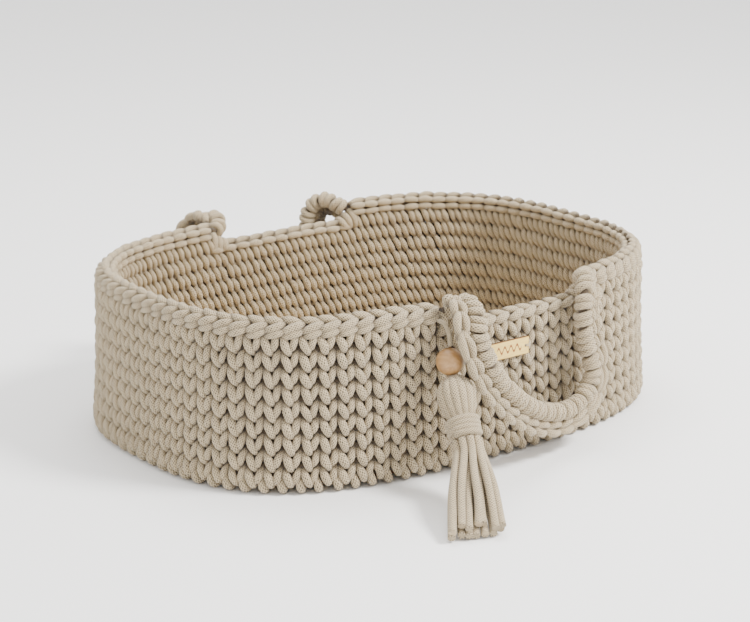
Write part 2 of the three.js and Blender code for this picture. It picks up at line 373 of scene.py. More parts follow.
@dataclass(frozen=True)
class PlateFinish:
    """Pale birch with a scorched margin and a burnt wavy line along its middle."""

    name: str
    half_length: float
    half_height: float
    pale: tuple = rgb(238, 206, 118)
    dark: tuple = rgb(218, 178, 88)
    burnt: tuple = rgb(118, 46, 4)
    margin: float = 1.1 * MM
    line: float = 2.0 * MM
    waves: float = 4.0

    def material(self) -> bpy.types.Material:
        """The material.

        Returns:
            The material, ready for a mesh.
        """
        g = Graph(self.name)
        place = g.place()
        x, y, _ = g.parts(place)
        grain = g.noise(g.stretched(place, (0.08, 1, 1)), 900, 4).step(0.35, 0.7)
        wood = g.mix(grain * 0.7, self.pale, self.dark)
        reach = self.half_length * 0.62
        inside = abs(x).step(reach, reach - 0.6 * MM)
        wave = (x * (TAU * self.waves / (2 * reach))).sine() * (self.half_height * 0.34)
        mark = abs(y - wave).step(self.line, self.line * 0.4) * inside
        to_edge = (self.half_length - abs(x)).lesser(self.half_height - abs(y))
        scorch = (to_edge + (g.noise(place, 700, 2) - 0.5) * (0.8 * MM)).step(self.margin, 0)
        burn = (mark * 0.95).greater(scorch * 0.75)
        return g.finish(grain - burn, 0.05 * MM, Base_Color=g.mix(burn, wood, self.burnt), Roughness=0.62)


@dataclass(frozen=True)
class ThreadFinish:
    """Twisted cotton thread."""

    name: str = "thread"
    colour: tuple = rgb(214, 200, 174)
    shade: tuple = rgb(150, 132, 104)

    def material(self) -> bpy.types.Material:
        """The material.

        Returns:
            The material, ready for a mesh.
        """
        g = Graph(self.name)
        around, along, _ = g.parts(g.node("ShaderNodeUVMap", {"uv_map": CORD_UV}).outputs["UV"])
        ply = ((around / 6 + along) * TAU).cosine() * 0.5 + 0.5
        return g.finish(ply, 0.12 * MM, Base_Color=g.mix(ply, self.shade, self.colour), Roughness=0.85)


# ---- swept cords ----


def unit(vectors: np.ndarray) -> np.ndarray:
    """Each row at length 1."""
    return vectors / np.maximum(np.linalg.norm(vectors, axis=-1, keepdims=True), 1e-12)


def carried_frames(tangents: np.ndarray, first: np.ndarray) -> np.ndarray:
    """A normal for each tangent, carried along from the first one without twist.

    Args:
        tangents: unit rows, one for each point of a path.
        first: a direction that the first normal leans towards.

    Returns:
        One unit row for each tangent.
    """
    normals = np.empty_like(tangents)
    held = first
    for i, tangent in enumerate(tangents):
        held = held - tangent * float(held @ tangent)
        held = held / max(math.sqrt(float(held @ held)), 1e-9)
        normals[i] = held
    return normals


def walked(points: np.ndarray) -> np.ndarray:
    """Distance along the points up to each of them."""
    return np.concatenate([[0.0], np.cumsum(np.linalg.norm(np.diff(points, axis=0), axis=1))])


def smooth_curve(points: Sequence[Sequence[float]], count: int) -> np.ndarray:
    """Centripetal Catmull-Rom curve through the points, as count evenly spaced points.

    Args:
        points: rows of x, y and z.
        count: how many points come back.

    Returns:
        The points, from the first given one to the last.
    """
    p = np.array(points, float)
    p = np.vstack([2 * p[0] - p[1], p, 2 * p[-1] - p[-2]])
    knots = np.concatenate([[0.0], np.cumsum(np.sqrt(np.linalg.norm(np.diff(p, axis=0), axis=1)))])
    fine = []
    for i in range(1, len(p) - 2):
        t0, t1, t2, t3 = knots[i - 1 : i + 3]
        t = np.linspace(t1, t2, 40, endpoint=i == len(p) - 3)[:, None]
        a1 = (t1 - t) / (t1 - t0) * p[i - 1] + (t - t0) / (t1 - t0) * p[i]
        a2 = (t2 - t) / (t2 - t1) * p[i] + (t - t1) / (t2 - t1) * p[i + 1]
        a3 = (t3 - t) / (t3 - t2) * p[i + 1] + (t - t2) / (t3 - t2) * p[i + 2]
        b1 = (t2 - t) / (t2 - t0) * a1 + (t - t0) / (t2 - t0) * a2
        b2 = (t3 - t) / (t3 - t1) * a2 + (t - t1) / (t3 - t1) * a3
        fine.append((t2 - t) / (t2 - t1) * b1 + (t - t1) / (t2 - t1) * b2)
    fine = np.vstack(fine)
    s = walked(fine)
    at = np.linspace(0, s[-1], count)
    return np.stack([np.interp(at, s, fine[:, k]) for k in range(3)], axis=1)


def refine(knots: np.ndarray, steps: int) -> np.ndarray:
    """Uniform Catmull-Rom rows through all the knots but the first and last, which lead in and out.

    Args:
        knots: rows of any width.
        steps: how many rows come of each span.

    Returns:
        The finer rows.
    """
    before, start, end, after = knots[:-3], knots[1:-2], knots[2:-1], knots[3:]
    rows = []
    for t in np.arange(steps) / steps:
        rows.append(0.5 * (
            2 * start + (end - before) * t + (2 * before - 5 * start + 4 * end - after) * t**2
            + (3 * start - before - 3 * end + after) * t**3
        ))
    return np.vstack([np.stack(rows, axis=1).reshape(-1, knots.shape[1]), knots[-2]])


class CordMesh:
    """Collects swept lengths of cord and makes one mesh of them."""

    def __init__(self, name: str, cells_around: int = 9, cell: float = 2.9 * MM) -> None:
        """An empty mesh whose knit cells come so many round the cord and so long.

        Args:
            name: the piece's name.
            cells_around: knit cells round the cord.
            cell: length of one cell, in metres.
        """
        self.name, self.cells_around, self.cell = name, cells_around, cell
        self.points: list[np.ndarray] = []
        self.faces: list[np.ndarray] = []
        self.uvs: list[np.ndarray] = []
        self.sunk: list[np.ndarray] = []
        self.count = 0

    def sweep(
        self, path: np.ndarray, radii: np.ndarray | float, sides: int = 8, closed: bool = False,
        cut: bool = False, sunk: np.ndarray | float = 0.0,
    ) -> None:
        """Adds one length of cord.

        Args:
            path: its centreline, one row per ring.
            radii: its radius at each ring, or one radius.
            sides: flats round it.
            closed: whether the last ring joins the first.
            cut: whether its two ends are closed flat.
            sunk: how far it lies down between its neighbours, from 0 to 1, at each ring or as one value; the
                finish paints it that much darker as shade.
        """
        path = np.asarray(path, float)
        radii = np.broadcast_to(np.asarray(radii, float), (len(path),))
        sunk = np.broadcast_to(np.asarray(sunk, float), (len(path),))
        if cut:
            path = np.vstack([path[0], path[0], path, path[-1], path[-1]])
            sunk = np.concatenate([sunk[[0, 0]], sunk, sunk[[-1, -1]]])
            rim = [radii[0] * 0.02, radii[0] * 0.82], [radii[-1] * 0.82, radii[-1] * 0.02]
            radii = np.concatenate([rim[0], radii, rim[1]])
        if closed:
            tangents = unit(np.roll(path, -1, axis=0) - np.roll(path, 1, axis=0))
        else:
            padded = np.vstack([path[0], path, path[-1]])
            tangents = padded[2:] - padded[:-2]
            still = np.linalg.norm(tangents, axis=1) < 1e-7
            if still.any():
                good = np.flatnonzero(~still)
                nearest = good[np.abs(good[None, :] - np.arange(len(path))[:, None]).argmin(axis=1)]
                tangents = tangents[nearest]
            tangents = unit(tangents)
        lead = np.cross(tangents[0], (0.0, 0.0, 1.0))
        if np.linalg.norm(lead) < 0.1:
            lead = np.cross(tangents[0], (1.0, 0.0, 0.0))
        normals = carried_frames(tangents, lead)
        sidewise = np.cross(tangents, normals)
        twist = np.zeros(len(path))
        if closed:
            end = normals[-1] - tangents[0] * float(normals[-1] @ tangents[0])
            angle = math.atan2(float(end @ sidewise[0]), float(end @ normals[0]))
            twist = -angle * np.arange(len(path)) / len(path)
        turn = np.arange(sides)[None, :] * (TAU / sides) + twist[:, None]
        rings = path[:, None] + radii[:, None, None] * (
            np.cos(turn)[..., None] * normals[:, None] + np.sin(turn)[..., None] * sidewise[:, None]
        )
        count = len(path)
        first = np.arange(count if closed else count - 1)
        after = (first + 1) % count
        column = np.arange(sides)
        beside = (column + 1) % sides
        quads = np.stack([
            first[:, None] * sides + column, first[:, None] * sides + beside,
            after[:, None] * sides + beside, after[:, None] * sides + column,
        ], axis=-1).reshape(-1, 4)
        s = walked(np.vstack([path, path[:1]])) / self.cell
        u0 = np.broadcast_to(column / sides * self.cells_around, (len(first), sides))
        u1 = u0 + self.cells_around / sides
        v0 = np.broadcast_to(s[first][:, None], u0.shape)
        v1 = np.broadcast_to(s[first + 1][:, None], u0.shape)
        uv = np.stack([
            np.stack([u0, v0], -1), np.stack([u1, v0], -1), np.stack([u1, v1], -1), np.stack([u0, v1], -1)
        ], axis=2).reshape(-1, 2)
        self.points.append(rings.reshape(-1, 3))
        self.sunk.append(np.repeat(sunk, sides))
        self.faces.append(quads + self.count)
        self.uvs.append(uv)
        self.count += count * sides

    def build(self, material: bpy.types.Material) -> bpy.types.Object:
        """Makes the mesh object with that finish.

        Args:
            material: the finish of all its cords.

        Returns:
            The mesh object, in the scene.
        """
        points, faces, uvs = np.vstack(self.points), np.vstack(self.faces), np.vstack(self.uvs)
        mesh = bpy.data.meshes.new(self.name)
        mesh.vertices.add(len(points))
        mesh.vertices.foreach_set("co", points.astype(np.float32).ravel())
        mesh.loops.add(faces.size)
        mesh.loops.foreach_set("vertex_index", faces.astype(np.int32).ravel())
        mesh.polygons.add(len(faces))
        mesh.polygons.foreach_set("loop_start", np.arange(0, faces.size, 4, dtype=np.int32))
        mesh.polygons.foreach_set("use_smooth", np.ones(len(faces), bool))
        layer = mesh.uv_layers.new(name=CORD_UV)
        layer.data.foreach_set("uv", uvs.astype(np.float32).ravel())
        depth = mesh.attributes.new(SUNK, "FLOAT", "POINT")
        depth.data.foreach_set("value", np.concatenate(self.sunk).astype(np.float32))
        mesh.update(calc_edges=True)
        mesh.validate()
        mesh.materials.append(material)
        made = bpy.data.objects.new(self.name, mesh)
        bpy.context.scene.collection.objects.link(made)
        return made


def settle(piece: bpy.types.Object, body: Body, slot: Slot, *nodes: str) -> bpy.types.Object:
    """Puts a finished piece on its body and names the CAD nodes that it stands for.

    Args:
        piece: the finished object.
        body: the body that it moves with.
        slot: the slot of its finish; not used.
        nodes: the CAD nodes that it stands for.

    Returns:
        The piece itself.
    """
    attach(piece, body.value)
    if nodes:
        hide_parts(*nodes)
    faces = len(piece.data.polygons) if piece.type == "MESH" else 0
    stands_for = ", ".join(nodes) or "nothing"
    log.info("built %s: %d faces, rides on %s, stands for %s", piece.name, faces, body.value, stands_for)
    return piece


# ---- the oval that the wall follows ----


@dataclass
class Oval:
    """The wall's outer face: a superellipse that widens towards the floor."""

    power: float = 2.9
    rounds: tuple = tuple(f"wall_round_0{i}" for i in range(1, 9))
    fine: int = 7200

    def __post_init__(self) -> None:
        """Take the oval's size from the CAD rounds."""
        boxes = [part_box(name) for name in self.rounds]
        middles = [(low.z + high.z) / 2 for low, high in boxes]
        self.long_fit = np.polyfit(middles, [high.x for _, high in boxes], 2)
        self.wide_fit = np.polyfit(middles, [high.y for _, high in boxes], 2)
        self.angles = np.linspace(0, TAU, self.fine + 1)
        outline = self._at(self.angles, np.zeros(self.fine + 1), np.full(self.fine + 1, np.mean(middles)))
        self.travel = walked(outline)
        self.length = float(self.travel[-1])
        self.outline = outline

    def _at(self, angle: np.ndarray, depth: np.ndarray, z: np.ndarray) -> np.ndarray:
        """Points at an angle of the superellipse, moved out of its face by depth, at height z.

        Args:
            angle: the superellipse's own angle, for each point.
            depth: distance out of the face.
            z: height above the floor.

        Returns:
            One row for each point.
        """
        a, b = np.polyval(self.long_fit, z), np.polyval(self.wide_fit, z)
        c, s = np.cos(angle), np.sin(angle)
        x = np.sign(c) * a * np.abs(c) ** (2 / self.power)
        y = np.sign(s) * b * np.abs(s) ** (2 / self.power)
        normal = unit(np.stack([
            np.sign(x) * np.abs(x / a) ** (self.power - 1) / a,
            np.sign(y) * np.abs(y / b) ** (self.power - 1) / b,
        ], axis=-1))
        return np.stack([x + normal[:, 0] * depth, y + normal[:, 1] * depth, z], axis=-1)

    def place(self, along: np.ndarray, depth: np.ndarray, z: np.ndarray) -> np.ndarray:
        """Points on or behind the outer face.

        Args:
            along: distance round the mid-height outline, anticlockwise from the +X end.
            depth: distance out of the outer face, so it is negative inside the wall.
            z: height above the floor.

        Returns:
            One row for each point.
        """
        angle = np.interp(np.mod(along, self.length), self.travel, self.angles)
        return self._at(angle, np.asarray(depth, float), np.asarray(z, float))

    def along_at(self, x: float, side: int) -> float:
        """Distance round to where the front (side -1) or rear (side 1) face is at x.

        Args:
            x: place along the basket.
            side: -1 for the front face, 1 for the rear.

        Returns:
            Distance round, in metres.
        """
        half = self.fine // 2
        chosen = slice(0, half + 1) if side > 0 else slice(half, self.fine + 1)
        xs, travel = self.outline[chosen, 0], self.travel[chosen]
        order = np.argsort(xs)
        return float(np.interp(x, xs[order], travel[order]))


# ---- stitches ----


def tapered(radii: np.ndarray) -> np.ndarray:
    """How sunk a cord is where it thins to go in between its neighbours, from 0 to 0.8; it sets painted
    shade.
    """
    return 0.8 * np.clip((3.6 * MM - radii) / (1.1 * MM), 0, 1)


@dataclass(frozen=True)
class Stitch:
    """One stitch's cord as knots: along, up, out of the outer face, and radius, in millimetres."""

    outer_right: tuple = (
        (7.0, 22.6, -9.8, 3.0), (5.8, 18.6, -5.4, 3.9), (4.2, 13.2, -4.2, 4.3),
        (2.7, 8.6, -5.2, 3.8), (1.6, 5.2, -9.6, 2.6),
    )
    turn_at_tip: tuple = ((1.0, 3.0, -11.8, 2.4),)
    outer_left: tuple = (
        (0.2, 1.2, -8.8, 2.9), (-1.3, 5.0, -4.5, 4.3), (-3.8, 10.4, -3.4, 5.0),
        (-6.3, 15.9, -4.5, 4.5), (-8.2, 21.0, -9.4, 3.0),
    )
    over: tuple = ((-6.2, 21.6, -14.0, 3.0),)
    inner: tuple = (
        (-1.8, 19.0, -18.0, 3.2), (-5.6, 11.4, -20.0, 4.45), (-9.6, 3.6, -18.0, 3.2),
        (-4.6, 1.4, -15.0, 3.0),
        (0.2, 4.4, -18.0, 3.2), (4.3, 12.0, -20.0, 4.45), (8.4, 19.6, -18.0, 3.2),
    )
    onward: tuple = ((13.4, 20.8, -13.6, 3.2),)

    def knots(self) -> np.ndarray:
        """All the knots in order, in metres."""
        outside = (*self.outer_right, *self.turn_at_tip, *self.outer_left)
        return np.array((*outside, *self.over, *self.inner, *self.onward)) * MM


@dataclass(frozen=True)
class Link:
    """One link of a chain, as knots: along, height, out of the outer face, and radius, in millimetres."""

    knots: tuple

    def rows(self) -> np.ndarray:
        """The knots in metres."""
        return np.array(self.knots) * MM


@dataclass
class Wall:
    """The crocheted wall, a round at a time, and the chains along its rim."""

    oval: Oval
    finish: bpy.types.Material
    stitches: int = 94
    rows: int = 9
    first_row: float = 6.3 * MM
    row_pitch: float = 18.3 * MM
    drift: float = -0.6 * MM
    jitter: float = 0.42 * MM
    carried_radius: float = 4.6 * MM
    carried_heights: tuple = (5.0 * MM, 14.0 * MM)
    carried_step: float = 9 * MM
    first_lift: float = 6 * MM
    first_room: float = 2 * MM
    carried_depth: float = -12.2 * MM
    root_turns: tuple = ((1.5 * MM, 177 * MM), (9.7 * MM, 172 * MM), (17.9 * MM, 167 * MM))
    root_foot: float = 157 * MM
    root_depth: float = -12 * MM
    root_reach: float = 8.2 * MM
    root_lean: float = 2.4 * MM
    root_cord: float = 4.5 * MM
    # painted shade: cord deeper than open_depth behind the open face is painted darker, fully at dark_depth
    open_depth: float = 5.0 * MM
    dark_depth: float = 9.6 * MM
    board_lift: float = 9.4 * MM
    seed: int = 11
    stitch: Stitch = field(default_factory=Stitch)
    roots: dict = field(default_factory=dict)

    def __post_init__(self) -> None:
        """Work out the pitch of the stitches and where the handles' roots are."""
        self.pitch = self.oval.length / self.stitches
        for side, name in ((-1, "gap_chain_front"), (1, "gap_chain_rear")):
            low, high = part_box(name)
            self.roots[side] = (self.oval.along_at(low.x, side), self.oval.along_at(high.x, side))

    def _knot_rows(self, row: int, first: int, count: int, rng: np.random.Generator) -> np.ndarray:
        """The knots of count stitches of a row, beginning with stitch number first.

        Args:
            row: the round, from 0 at the foot.
            first: number of its first stitch.
            count: how many stitches.
            rng: gives the small differences between stitches.

        Returns:
            Rows of along, up, depth and radius.
        """
        one = self.stitch.knots()
        number = np.arange(first, first + count)
        start = (number + 0.5) * self.pitch + self.drift * row
        start = start + rng.normal(0, self.jitter * 0.6, count)
        rows = np.broadcast_to(one, (count, *one.shape)).copy()
        rows[..., :3] += rng.normal(0, self.jitter, rows[..., :3].shape) * (1.0, 0.8, 0.7)
        rows[..., 3] *= 1 + rng.normal(0, 0.035, (count, 1)) + rng.normal(0, 0.012, rows.shape[:2])
        rows[..., 0] += start[:, None]
        rows[..., 1] += self.first_row + row * self.row_pitch + rng.normal(0, self.jitter * 0.5, (count, 1))
        if row == 0:
            inwards = np.clip((-rows[..., 2] - 6 * MM) / (8 * MM), 0, 1)
            up = np.clip((rows[..., 1] - self.first_row) / (20 * MM), 0, 1)
            rows[..., 1] += self.board_lift * inwards * (1 - up)
        return rows.reshape(-1, 4)

    def _map(self, rows: np.ndarray, top: float = math.inf) -> tuple[np.ndarray, np.ndarray, np.ndarray]:
        """Centreline, radii and how sunk the cord is, from rows of along, up, depth and radius.

        Args:
            rows: the knots.
            top: height of the open top of the work, where it is near.

        Returns:
            The three arrays, one entry for each row.
        """
        # painted shade: depth behind the nearest open face, and thinning, set how dark the cord is painted
        face = np.minimum(np.minimum(-rows[:, 2], WALL_THICKNESS + rows[:, 2]), top - rows[:, 1])
        sunk = np.clip((face - self.open_depth) / (self.dark_depth - self.open_depth), 0, 1)
        sunk = np.maximum(sunk, tapered(rows[:, 3]))
        return self.oval.place(rows[:, 0], rows[:, 2], rows[:, 1]), rows[:, 3], sunk

    def _carried(self, cord: CordMesh, row: int, start: float, end: float, closed: bool) -> None:
        """Lengths of cord carried inside the round, which stop light coming through it.

        Args:
            cord: the mesh that they go into.
            row: the round, from 0 at the foot.
            start: where they start, round the oval.
            end: where they end.
            closed: whether they run all the way round.
        """
        steps = max(int((end - start) / self.carried_step), 4)
        along = np.linspace(start, end, steps, endpoint=not closed)
        foot = self.first_row + row * self.row_pitch
        for up in self.carried_heights:
            height = foot + up
            if row == 0:
                height = min(foot + up + self.first_lift, foot + self.row_pitch - self.first_room)
            path = self.oval.place(along, np.full(steps, self.carried_depth), np.full(steps, height))
            # painted shade: the carried cord is painted fully dark
            cord.sweep(path, self.carried_radius, sides=6, closed=closed, sunk=1.0)

    def build_round(self, row: int) -> bpy.types.Object:
        """One whole round of stitches.

        Args:
            row: the round, from 0 at the foot.

        Returns:
            The piece.
        """
        rng = np.random.default_rng(self.seed + row)
        rows = self._knot_rows(row, 0, self.stitches, rng)
        back, on = rows[-1:].copy(), rows[:2].copy()
        back[:, 0] -= self.oval.length
        on[:, 0] += self.oval.length
        fine = refine(np.vstack([back, rows, on]), 2)[:-1]
        path, radii, sunk = self._map(fine)
        cord = CordMesh(f"round_{row + 1:02d}")
        cord.sweep(path, radii, closed=True, sunk=sunk)
        self._carried(cord, row, 0, self.oval.length, closed=True)
        return settle(cord.build(self.finish), Body.BASKET, Slot.COTTON, f"wall_round_0{row + 1}")

    def build_top_round(self, side: str, start: float, end: float) -> bpy.types.Object:
        """The last round, which runs round one end from handle to handle.

        Args:
            side: left or right.
            start: where it starts, round the oval.
            end: where it ends.

        Returns:
            The piece.
        """
        row = self.rows - 1
        rng = np.random.default_rng(self.seed + row + (0 if side == "left" else 50))
        first, last = math.ceil(start / self.pitch - 0.35), math.floor(end / self.pitch - 0.65)
        rows = self._knot_rows(row, first, last - first + 1, rng)
        rows[:, 0] = np.clip(rows[:, 0], start, end)
        fine = refine(np.vstack([rows[:1], rows, rows[-1:]]), 2)
        path, radii, sunk = self._map(fine)
        cord = CordMesh(f"top_round_{side}_stitches")
        cord.sweep(path, radii, cut=True, sunk=sunk)
        self._carried(cord, row, start + 4 * MM, end - 4 * MM, closed=False)
        return settle(cord.build(self.finish), Body.BASKET, Slot.COTTON, f"top_round_{side}")

    def _end_turns(self, cord: CordMesh, at: float, onward: int) -> None:
        """Turns of cord round the top of the wall, under the root of a handle.

        Args:
            cord: the mesh that they go into.
            at: where the chain ends, round the oval.
            onward: 1 or -1, which way the low stretch lies.
        """
        angle = np.linspace(0, TAU, 20, endpoint=False)
        for step, top in self.root_turns:
            z = (self.root_foot + top) / 2 + (top - self.root_foot) / 2 * np.sin(angle)
            along = at + onward * (step + self.root_lean * np.sin(angle))
            path = self.oval.place(along, self.root_depth + self.root_reach * np.cos(angle), z)
            cord.sweep(path, self.root_cord, sides=9, closed=True)

    def build_chain(
        self, name: str, node: str, start: float, end: float, links: Sequence[Link], filler: tuple, seed: int,
        turns: bool = False,
    ) -> bpy.types.Object:
        """A chain of links along the top of the wall.

        Args:
            name: the piece's name.
            node: the CAD node that it stands for.
            start: where it starts, round the oval.
            end: where it ends.
            links: the links of one stitch.
            filler: height, depth and radius of the cord carried inside, in metres.
            seed: for the small differences between the links.
            turns: whether cord is wound under the handles' roots, past its two ends.

        Returns:
            The piece.
        """
        rng = np.random.default_rng(seed)
        cord = CordMesh(name)
        top = max(row[1] for link in links for row in link.rows())
        if turns:
            self._end_turns(cord, start, -1)
            self._end_turns(cord, end, 1)
        first, last = math.ceil(start / self.pitch - 0.5), math.floor(end / self.pitch - 0.5)
        for number in range(first, last + 1):
            centre = (number + 0.5) * self.pitch + rng.normal(0, self.jitter)
            lift = rng.normal(0, self.jitter * 0.8)
            for link in links:
                rows = link.rows()
                rows[:, :3] += rng.normal(0, self.jitter, rows[:, :3].shape) * (1, 0.6, 0.6)
                rows[:, 0] = np.clip(rows[:, 0] + centre, start - 3 * MM, end + 3 * MM)
                rows[:, 1] += lift
                rows[:, 3] *= 1 + rng.normal(0, 0.03)
                fine = refine(np.vstack([rows[:1], rows, rows[-1:]]), 3)
                path, radii, sunk = self._map(fine, top)
                cord.sweep(path, radii, sides=9, cut=True, sunk=sunk)
        z, depth, radius = filler
        steps = max(int((end - start) / (9 * MM)), 4)
        along = np.linspace(start + radius * 0.5, end - radius * 0.5, steps)
        middle = self.oval.place(along, np.full(steps, depth), np.full(steps, z))
        # painted shade: the filler cord is painted fully dark
        cord.sweep(middle, radius, sides=8, cut=True, sunk=1.0)
        return settle(cord.build(self.finish), Body.BASKET, Slot.COTTON, node)

    def build(self) -> None:
        """All the rounds and chains."""
        for row in range(self.rows - 1):
            self.build_round(row)
        length = self.oval.length
        (front_left, front_right), (rear_left, rear_right) = self.roots[-1], self.roots[1]
        self.build_top_round("left", rear_left, front_left)
        self.build_top_round("right", front_right, rear_right + length)
        rim = (
            Link(((-12.5, 172.6, -9.5, 2.2), (-8.5, 174.2, -4.6, 3.2), (-1, 176.4, -3.4, 4.1),
                  (6, 178.4, -4.8, 3.3), (10.5, 180.0, -9.4, 2.2))),
            Link(((-13.5, 177.4, -10.0, 2.2), (-9.0, 180.2, -5.8, 3.7), (-1, 183.2, -5.2, 4.9),
                  (7, 185.6, -8.0, 3.7), (12, 186.2, -13.0, 2.2))),
            Link(((-13, 190.2, -16.0, 2.2), (-8.5, 190.2, -13.8, 3.6), (-1, 189.0, -12.2, 4.7),
                  (6.5, 187.2, -12.4, 3.6), (12, 184.4, -13.5, 2.2))),
            Link(((-11, 184.4, -15.5, 2.2), (-7.5, 185.0, -19.0, 3.5), (0, 185.4, -20.2, 4.5),
                  (7.5, 184.8, -19.0, 3.5), (11, 184.2, -15.5, 2.2))),
            Link(((-11, 175.6, -15.5, 2.2), (-7.5, 176.4, -19.2, 3.5), (0, 177.0, -20.6, 4.4),
                  (7.5, 176.4, -19.2, 3.5), (11, 175.6, -15.5, 2.2))),
        )
        rim_filler = (179.0 * MM, -12.5 * MM, 6.2 * MM)
        ends = (("left", rear_left, front_left, 71), ("right", front_right, rear_right + length, 72))
        for side, start, end, seed in ends:
            name, node = f"rim_{side}", f"rim_chain_{side}"
            self.build_chain(name, node, start, end, rim, rim_filler, seed, turns=True)
        low = (
            Link(((-13.5, 154.6, -10.0, 2.2), (-9, 157.2, -5.8, 3.6), (-1, 160.0, -5.2, 4.8),
                  (7, 161.8, -8.0, 3.6), (12, 161.8, -13.0, 2.2))),
            Link(((-13, 165.4, -16.0, 2.2), (-8.5, 165.2, -13.8, 3.5), (-1, 164.0, -12.4, 4.5),
                  (6.5, 162.4, -12.6, 3.5), (12, 160.4, -13.5, 2.2))),
            Link(((-11, 157.2, -15.5, 2.2), (-7.5, 158.2, -19.0, 3.5), (0, 158.8, -20.4, 4.5),
                  (7.5, 158.2, -19.0, 3.5), (11, 157.2, -15.5, 2.2))),
        )
        low_filler = (156.0 * MM, -12 * MM, 5.6 * MM)
        gaps = (("front", front_left, front_right, 73), ("rear", rear_right, rear_left, 74))
        for side, start, end, seed in gaps:
            node = f"gap_chain_{side}"
            self.build_chain(f"{node}_links", node, start, end, low, low_filler, seed)


@dataclass
class Base:
    """The plywood board and the cord loops that hold it in the first round."""

    oval: Oval
    wall: Wall
    cotton: bpy.types.Material
    hole_depth: float = -20.0 * MM
    hole_radius: float = 3.4 * MM
    edge_depth: float = -9.0 * MM
    hole_offset: float = 10.0 * MM
    seed: int = 5
    loop: tuple = (
        (6.6, 18.5, -10.5, 3.3), (7.6, 13.0, -5.6, 4.4), (9.2, 8.0, -5.0, 4.9), (10.8, 5.0, -8.8, 4.8),
        (11.2, 4.8, -14.5, 4.6), (10.6, 6.4, -19.6, 3.8), (10.0, 11.3, -20.2, 3.1), (10.0, 17.5, -19.6, 3.4),
    )

    def build_loops(self) -> bpy.types.Object:
        """A loop of cord round the board's edge at each stitch.

        Returns:
            The piece.
        """
        rng = np.random.default_rng(self.seed)
        cord = CordMesh("base_loops")
        for number in range(self.wall.stitches):
            rows = np.array(self.loop) * MM
            rows[:, 0] += (number + 0.5) * self.wall.pitch
            rows[:5, 0] += rng.normal(0, 0.7 * MM)
            rows[:5, :3] += rng.normal(0, 0.2 * MM, (5, 3)) * (1, 0.4, 1)
            rows[:, 3] *= 1 + rng.normal(0, 0.02)
            fine = refine(np.vstack([rows[:1], rows, rows[-1:]]), 2)
            fine[:, 1] = np.maximum(fine[:, 1], fine[:, 3] + 0.05 * MM)
            cord.sweep(self.oval.place(fine[:, 0], fine[:, 2], fine[:, 1]), fine[:, 3], sides=9, cut=True)
        return settle(cord.build(self.cotton), Body.BASKET, Slot.COTTON, "base_round", "base_edge_round")

    def build_board(self) -> bpy.types.Object:
        """The board, with a hole under each loop.

        Returns:
            The piece.
        """
        low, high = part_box("base_board")
        thickness = high.z - low.z
        count = self.wall.stitches
        along = np.arange(count * 2) * (self.oval.length / (count * 2))
        outline = self.oval.place(along, np.full(count * 2, self.edge_depth), np.full(count * 2, high.z))
        holes = (np.arange(count) + 0.5) * self.wall.pitch + self.hole_offset
        centres = self.oval.place(holes, np.full(count, self.hole_depth), np.full(count, high.z))
        shape = bpy.data.curves.new("board outline", "CURVE")
        shape.dimensions, shape.fill_mode = "2D", "BOTH"
        shape.extrude, shape.bevel_depth = thickness / 2 - 0.3 * MM, 0.3 * MM
        shape.offset = -0.3 * MM
        rounds = np.linspace(0, TAU, 12, endpoint=False)
        circle = np.stack([np.cos(rounds), np.sin(rounds)], axis=1) * self.hole_radius
        for ring in [outline[:, :2], *(circle + centre[:2] for centre in centres)]:
            spline = shape.splines.new("POLY")
            spline.points.add(len(ring) - 1)
            flat = np.concatenate([ring, np.zeros((len(ring), 1)), np.ones((len(ring), 1))], axis=1)
            spline.points.foreach_set("co", flat.astype(np.float32).ravel())
            spline.use_cyclic_u = True
        made = as_mesh(shape, "board", Matrix.Translation((0, 0, (low.z + high.z) / 2)))
        face = WoodFinish("plywood face", rgb(214, 192, 156), rgb(190, 164, 124))
        paint(made, face.material(), BurntEdgeFinish("plywood edge").material())
        return settle(made, Body.BASKET, Slot.PLYWOOD, "base_board")

    def build(self) -> None:
        """Both pieces."""
        self.build_loops()
        self.build_board()


def as_mesh(shape: bpy.types.Curve, name: str, place: Matrix) -> bpy.types.Object:
    """The filled curve as a mesh object, moved to its place.

    Args:
        shape: the filled curve.
        name: the new object's name.
        place: where it goes.

    Returns:
        The mesh object, in the scene.
    """
    held = bpy.data.objects.new(name + " curve", shape)
    bpy.context.scene.collection.objects.link(held)
    graph = bpy.context.evaluated_depsgraph_get()
    mesh = bpy.data.meshes.new_from_object(held.evaluated_get(graph))
    bpy.data.objects.remove(held)
    mesh.name = name
    made = bpy.data.objects.new(name, mesh)
    made.matrix_world = place
    bpy.context.scene.collection.objects.link(made)
    return made


def paint(piece: bpy.types.Object, face: bpy.types.Material, side: bpy.types.Material) -> None:
    """Gives a flat board's two faces one finish and its sides another, by the faces' own normals.

    Args:
        piece: the board.
        face: finish of its two faces.
        side: finish of its sides.
    """
    piece.data.materials.clear()
    piece.data.materials.append(face)
    piece.data.materials.append(side)
    for polygon in piece.data.polygons:
        polygon.material_index = 0 if abs(polygon.normal.z) > 0.9 else 1
        polygon.use_smooth = False


# ---- handles ----


